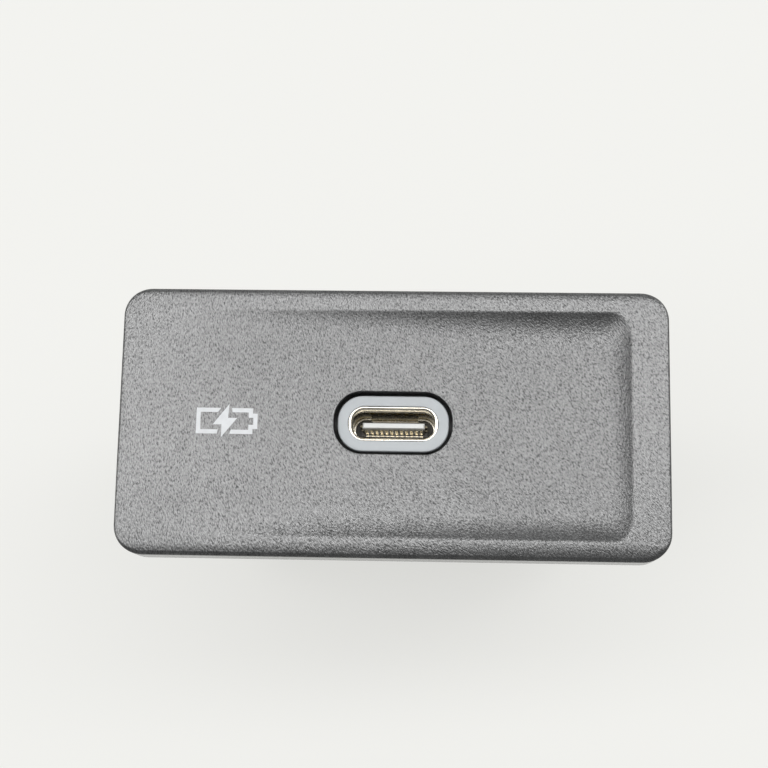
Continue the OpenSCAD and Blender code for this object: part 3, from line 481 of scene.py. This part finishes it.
def recess_outline(inward):
    """Recess outline, moved in by a share of the cove's width."""
    half_x = (RECESS_RIGHT - RECESS_LEFT) / 2 - inward * COVE_W
    shrink = 1 - CORNER_SHRINK * inward
    points = outline((RECESS_RIGHT + RECESS_LEFT) / 2, half_x, RECESS_HALF_H - inward * COVE_W,
                     RECESS_CORNER_X * shrink, RECESS_CORNER_Y * shrink, BEZEL_STEPS)
    return [(x, y + RECESS_Y) for x, y in points]


def bezel_outline(inset):
    radius = max(CORNER_R - inset, LEAST_CORNER_R)
    return outline(0, HALF_W - inset, HALF_H - inset, radius, radius, BEZEL_STEPS)


def hole_outline(grow):
    radius = HOLE_R + grow
    return outline(0, HOLE_W / 2 + grow, HOLE_H / 2 + grow, radius, radius, BEZEL_STEPS)


def on_face(points, inward, drop=0.0):
    """Lays outline points on the face, at a given place across the cove."""
    return [(x, y, FACE_Z - recess_drop(x, inward) - brow_drop(x, y) - drop) for x, y in points]


def bezel_rings():
    rings = [level(hole_outline(0), BACK_Z)]
    rings += [on_face(hole_outline(grow), COVE_FOOT, drop) for grow, drop in round_edge(HOLE_EDGE, 4)]
    hole, foot = hole_outline(HOLE_EDGE), recess_outline(COVE_FOOT)
    rings += [on_face(between_rings(hole, foot, t), COVE_FOOT) for t in FLOOR_SHARES]
    rings += [on_face(recess_outline(inward), inward) for inward in COVE_SHARES]
    rim, brink = recess_outline(COVE_SHARES[-1]), bezel_outline(EDGE_R)
    for step in range(1, RIM_RINGS + 1):
        rings.append(on_face(between_rings(rim, brink, step / RIM_RINGS), OUTSIDE))
    outer = bezel_outline(0)
    for drop, inset in round_edge(EDGE_R, 6)[1:]:
        ring = bezel_outline(inset)
        rings.append([(x, y, FACE_Z - brow_drop(*edge) - drop) for (x, y), edge in zip(ring, outer)])
    rings += [level(outer, GRAIN_END_Z), level(outer, FOOT_EDGE), level(bezel_outline(FOOT_EDGE), 0)]
    rings += [level(bezel_outline(SKIRT_T - FOOT_EDGE), 0), level(bezel_outline(SKIRT_T), FOOT_EDGE)]
    rings.append(level(bezel_outline(SKIRT_T), BACK_Z))
    return rings


def is_past(vert, reach_x, reach_y, corner):
    """Whether a vertex lies outside a rectangle with rounded corners."""
    past_x = max(abs(vert.co.x) / MM - (reach_x - corner), 0.0)
    past_y = max(abs(vert.co.y) / MM - (reach_y - corner), 0.0)
    return math.hypot(past_x, past_y) > corner


def behind_face(node, top, reach_x, reach_y, corner=0.0):
    """Copy of the part of a CAD node below a level and inside a reach, closed again at the cut."""
    made = bmesh.new()
    made.from_mesh(nodes[node].data)
    bmesh.ops.remove_doubles(made, verts=made.verts, dist=SAME_POINT)
    cut_mesh(made, (0, 0, top * MM), (0, 0, 1), clear_outer=True)
    outside = [v for v in made.verts if is_past(v, reach_x, reach_y, corner)]
    bmesh.ops.delete(made, geom=outside, context="VERTS")
    open_edges = [e for e in made.edges if e.is_boundary]
    bmesh.ops.holes_fill(made, edges=open_edges, sides=0)
    return made


def join_into(made, other):
    spare = bpy.data.meshes.new("spare")
    other.to_mesh(spare)
    other.free()
    made.from_mesh(spare)
    bpy.data.meshes.remove(spare)


def is_smooth_side(face):
    """Whether a face lies on the bezel's outer sides, below the end of the grain."""
    middle = face.calc_center_median() / MM
    outer = abs(middle.x) > HALF_W - CORNER_R or abs(middle.y) > HALF_H - CORNER_R
    return outer and middle.z < GRAIN_END_Z


def build_bezel():
    made = mesh_from(*loft(bezel_rings()))
    inset = SKIRT_T + SIDE_ROOM
    fittings = behind_face("front_bezel", BACK_Z - CUT_ROOM, HALF_W - inset, HALF_H - inset,
                           corner=CORNER_R - inset)
    join_into(made, fittings)
    for face in made.faces:
        face.material_index = 1 if is_smooth_side(face) else 0
    skin = piece("bezel_skin", made, MATERIALS["bezel_plastic"], "front_bezel")
    skin.data.materials.append(SMOOTH_SIDE)


# Port ring and steel mouth

PORT_STEPS = (16, 24, 4)


def port_outline(w, h, r):
    """Rounded outline round the port axis; the ends stay a hair short of half circles."""
    radius = min(r, h / 2 - END_FLAT)
    return outline(0, w / 2, h / 2, radius, radius, PORT_STEPS)


def ring_outline(inset):
    return port_outline(RING_W - 2 * inset, RING_H - 2 * inset, RING_R - inset)


def ring_mouth(grow):
    return port_outline(RING_OPEN_W + 2 * grow, RING_OPEN_H + 2 * grow, RING_OPEN_H / 2 + grow)


def build_ring():
    flange = port_outline(FLANGE_W, FLANGE_H, FLANGE_R)
    rings = [level(flange, FLANGE_BOTTOM), level(flange, FLANGE_TOP), level(ring_outline(0), FLANGE_TOP)]
    rings.append(level(ring_outline(0), RING_Z - RING_EDGE - RING_SHOULDER))
    rings += [level(ring_outline(inset), RING_Z - drop) for inset, drop in round_edge(RING_EDGE, 6)]
    rings += [level(ring_mouth(grow), RING_Z - drop) for grow, drop in reversed(round_edge(RING_LIP, 5))]
    rings.append(level(ring_mouth(0), FLANGE_BOTTOM))
    made = mesh_from(*loft(rings))
    join_into(made, behind_face("port_surround", FLANGE_BOTTOM - CUT_ROOM, FLANGE_W, FLANGE_H))
    piece("port_ring", made, MATERIALS["ring_plastic"], "port_surround")


def tube_outline(grow_x, grow_y):
    return port_outline(PORT_W + 2 * grow_x, PORT_H + 2 * grow_y, PORT_H / 2 + min(grow_x, grow_y))


def build_tube():
    """Drawn tube with a bright flat lip, and a ledge behind it where the mouth narrows to the port.

    Behind the ledge the steel is painted dark as painted shade, but for the bottom, which stays bright
    and throws light up at the contacts.
    """
    end_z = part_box("receptacle_shell")[0].z / MM
    profile = [(0, 0, end_z), (0, 0, LEDGE_Z - LEDGE_T)]
    profile += [(LEDGE_EDGE, LEDGE_Y - LEDGE_T, LEDGE_Z), (LEDGE_X, LEDGE_Y, LEDGE_Z)]
    lip_round = round_edge(LIP_ROUND, 4)
    for out, fall in lip_round:
        profile.append((LIP_OUT_X - LIP_X + out, LIP_OUT_Y - LIP_Y + out, MOUTH_Z - fall))
    for out, fall in reversed(lip_round):
        profile.append((LIP_OUT_X - out, LIP_OUT_Y - out, MOUTH_Z - fall))
    profile += [(LIP_OUT_X, LIP_OUT_Y, MOUTH_Z - LIP_D), (TUBE_T, TUBE_T, LEDGE_Z - LEDGE_TAPER)]
    profile.append((TUBE_T, TUBE_T, end_z))
    rings = [level(tube_outline(x, y), z) for x, y, z in profile]
    made = mesh_from(*loft(rings))
    # Painted shade: the tube's faces behind the ledge, but for the bottom, take the dark steel
    for face in made.faces:
        middle = face.calc_center_median() / MM
        face.material_index = 1 if middle.y > PAINTED_SHADE_ABOVE_Y and middle.z < LEDGE_Z - LEDGE_T else 0
    tube = piece("steel_tube", made, MATERIALS["port_steel"], "receptacle_shell",
                 sharp=ALL_SMOOTH)
    tube.data.materials.append(PAINTED_SHADE_STEEL)


# Charging mark: a battery outline with a bolt through it

def mark_shapes():
    in_left, in_right = MARK_LEFT + MARK_LINE, MARK_RIGHT - MARK_LINE
    in_top, in_bottom = MARK_TOP - MARK_LINE, MARK_BOTTOM + MARK_LINE
    in_tip, in_tip_top, in_tip_bottom = MARK_TIP - MARK_LINE, TIP_TOP - MARK_LINE, TIP_BOTTOM + MARK_LINE
    top, under_top, over_bottom, bottom = BREAK_LEFT
    left = [(top, MARK_TOP), (MARK_LEFT, MARK_TOP), (MARK_LEFT, MARK_BOTTOM), (bottom, MARK_BOTTOM),
            (over_bottom, in_bottom), (in_left, in_bottom), (in_left, in_top), (under_top, in_top)]
    top, under_top, over_bottom, bottom = BREAK_RIGHT
    right = [(top, MARK_TOP), (under_top, in_top), (in_right, in_top), (in_right, in_tip_top),
             (in_tip, in_tip_top), (in_tip, in_tip_bottom), (in_right, in_tip_bottom),
             (in_right, in_bottom), (over_bottom, in_bottom), (bottom, MARK_BOTTOM),
             (MARK_RIGHT, MARK_BOTTOM), (MARK_RIGHT, TIP_BOTTOM), (MARK_TIP, TIP_BOTTOM),
             (MARK_TIP, TIP_TOP), (MARK_RIGHT, TIP_TOP), (MARK_RIGHT, MARK_TOP)]
    return [left, right, BOLT]


def build_mark():
    """Ink film that follows the ramp of the face, half sunk in it.

    Its sides are made one by one, because an extrusion gives them in another order each run.
    """
    made = bmesh.new()
    for shape in mark_shapes():
        made.faces.new([made.verts.new((x * MM, y * MM, 0)) for x, y in shape])
    cut_at = MARK_LEFT
    while cut_at < MARK_TIP:
        cut_at += MARK_STEP
        cut_mesh(made, (cut_at * MM, 0, 0), (1, 0, 0))
    sides = [edge.verts[:] for edge in made.edges if edge.is_boundary]
    under = {}
    for v in made.verts[:]:
        face_z = FACE_Z - recess_drop(v.co.x / MM, COVE_FOOT)
        under[v] = made.verts.new((v.co.x, v.co.y, (face_z - INK_T) * MM))
        v.co.z = (face_z + INK_T) * MM
    for face in made.faces[:]:
        made.faces.new([under[v] for v in face.verts])
    for a, b in sides:
        made.faces.new((a, b, under[b], under[a]))
    bmesh.ops.recalc_face_normals(made, faces=made.faces)
    piece("charging_mark", made, INK, sharp=None)


build_bezel()
build_ring()
build_tube()
build_mark()

for part in frame["record"]["subparts"]:
    shown = nodes[part["node"]]
    shown.data.materials.clear()
    # Painted shade: the mid plate deep in the port takes the dark steel instead of its own finish
    finish = PAINTED_SHADE_STEEL if part["node"] == "mid_plate" else MATERIALS[part["material_slot"]]
    shown.data.materials.append(finish)


# Stage, light and camera

def floor_finish():
    """Pale matte that glows to the camera and to reflections, and keeps the soft shadow."""
    finish = bpy.data.materials.new("pale_floor")
    finish.use_nodes = True
    tree = finish.node_tree
    tree.nodes.clear()
    rays = add_node(tree, "ShaderNodeLightPath")
    mirrored = add_node(tree, "ShaderNodeMath", operation="ADD", use_clamp=True)
    wire(tree, rays.outputs["Is Glossy Ray"], mirrored.inputs[0])
    wire(tree, rays.outputs["Is Transmission Ray"], mirrored.inputs[1])
    axes = add_node(tree, "ShaderNodeSeparateXYZ")
    wire(tree, add_node(tree, "ShaderNodeNewGeometry").outputs["Position"], axes.inputs["Vector"])
    faded = add_node(tree, "ShaderNodeMath", operation="MULTIPLY")
    wire(tree, mirrored.outputs[0], faded.inputs[0])
    wire(tree, spread(tree, axes.outputs["Y"], FAR_GLOW, 1, FAR_Y, NEAR_Y), faded.inputs[1])
    seen = add_node(tree, "ShaderNodeMath", operation="ADD", use_clamp=True)
    wire(tree, rays.outputs["Is Camera Ray"], seen.inputs[0])
    wire(tree, faded.outputs[0], seen.inputs[1])
    strength = add_node(tree, "ShaderNodeMath", operation="MULTIPLY")
    strength.inputs[1].default_value = FLOOR_GLOW
    wire(tree, seen.outputs[0], strength.inputs[0])
    matte = add_node(tree, "ShaderNodeBsdfDiffuse", Color=(*FLOOR_COLOUR, 1))
    glow = add_node(tree, "ShaderNodeEmission", Color=(*GLOW_COLOUR, 1))
    wire(tree, strength.outputs[0], glow.inputs["Strength"])
    both = add_node(tree, "ShaderNodeAddShader")
    wire(tree, matte.outputs[0], both.inputs[0])
    wire(tree, glow.outputs[0], both.inputs[1])
    output = add_node(tree, "ShaderNodeOutputMaterial")
    wire(tree, both.outputs[0], output.inputs["Surface"])
    return finish


def build_floor():
    made = bmesh.new()
    corners = [(-1, -1), (1, -1), (1, 1), (-1, 1)]
    made.faces.new([made.verts.new((x * FLOOR_HALF, y * FLOOR_HALF, STAND_Z)) for x, y in corners])
    data = bpy.data.meshes.new("floor")
    made.to_mesh(data)
    made.free()
    floor = bpy.data.objects.new("floor", data)
    bpy.context.scene.collection.objects.link(floor)
    data.materials.append(floor_finish())


def softbox(name, direction, distance, width, height, radiance):
    """Rectangular lamp that faces the bezel."""
    data = bpy.data.lights.new(name, "AREA")
    data.shape = "RECTANGLE"
    data.size, data.size_y = width, height
    data.energy = radiance * math.pi * width * height
    lamp = bpy.data.objects.new(name, data)
    back = Vector(direction).normalized()
    lamp.location = CAMERA_AIM + back * distance
    lamp.rotation_euler = back.to_track_quat("Z", "Y").to_euler()
    bpy.context.scene.collection.objects.link(lamp)


def build_world():
    """Grey surround that is darker in front and at the horizon, and a pale backdrop to the camera."""
    world = bpy.data.worlds.new("studio")
    bpy.context.scene.world = world
    world.use_nodes = True
    tree = world.node_tree
    sky = tree.nodes["Background"]
    sky.inputs["Color"].default_value = (1, 1, 1, 1)
    height = add_node(tree, "ShaderNodeVectorMath", operation="DOT_PRODUCT")
    height.inputs[1].default_value = SKY_AXIS
    wire(tree, add_node(tree, "ShaderNodeTexCoord").outputs["Generated"], height.inputs[0])
    strength = add_node(tree, "ShaderNodeMath", operation="MULTIPLY_ADD")
    strength.inputs[1].default_value = BACKDROP
    wire(tree, add_node(tree, "ShaderNodeLightPath").outputs["Is Camera Ray"], strength.inputs[0])
    sky_strength = spread(tree, height.outputs["Value"], SKY_LOW, SKY_HIGH, SKY_FROM, SKY_TO)
    wire(tree, sky_strength, strength.inputs[2])
    wire(tree, strength.outputs[0], sky.inputs["Strength"])


def build_camera():
    data = bpy.data.cameras.new("camera")
    data.lens = CAMERA_LENS
    data.sensor_width = CAMERA_SENSOR
    data.clip_start, data.clip_end = CAMERA_CLIP
    camera = bpy.data.objects.new("camera", data)
    back = (CAMERA_AT - CAMERA_AIM).normalized()
    side = Vector((0, 1, 0)).cross(back).normalized()
    up = back.cross(side)
    pose = Matrix((side, up, back)).transposed() @ Matrix.Rotation(CAMERA_ROLL, 3, "Z")
    camera.matrix_world = Matrix.Translation(CAMERA_AT) @ pose.to_4x4()
    bpy.context.scene.collection.objects.link(camera)
    bpy.context.scene.camera = camera


build_floor()
for lamp_name, placing in SOFTBOXES.items():
    softbox(lamp_name, *placing)
build_world()
build_camera()
bpy.context.scene.view_settings.view_transform = "Standard"
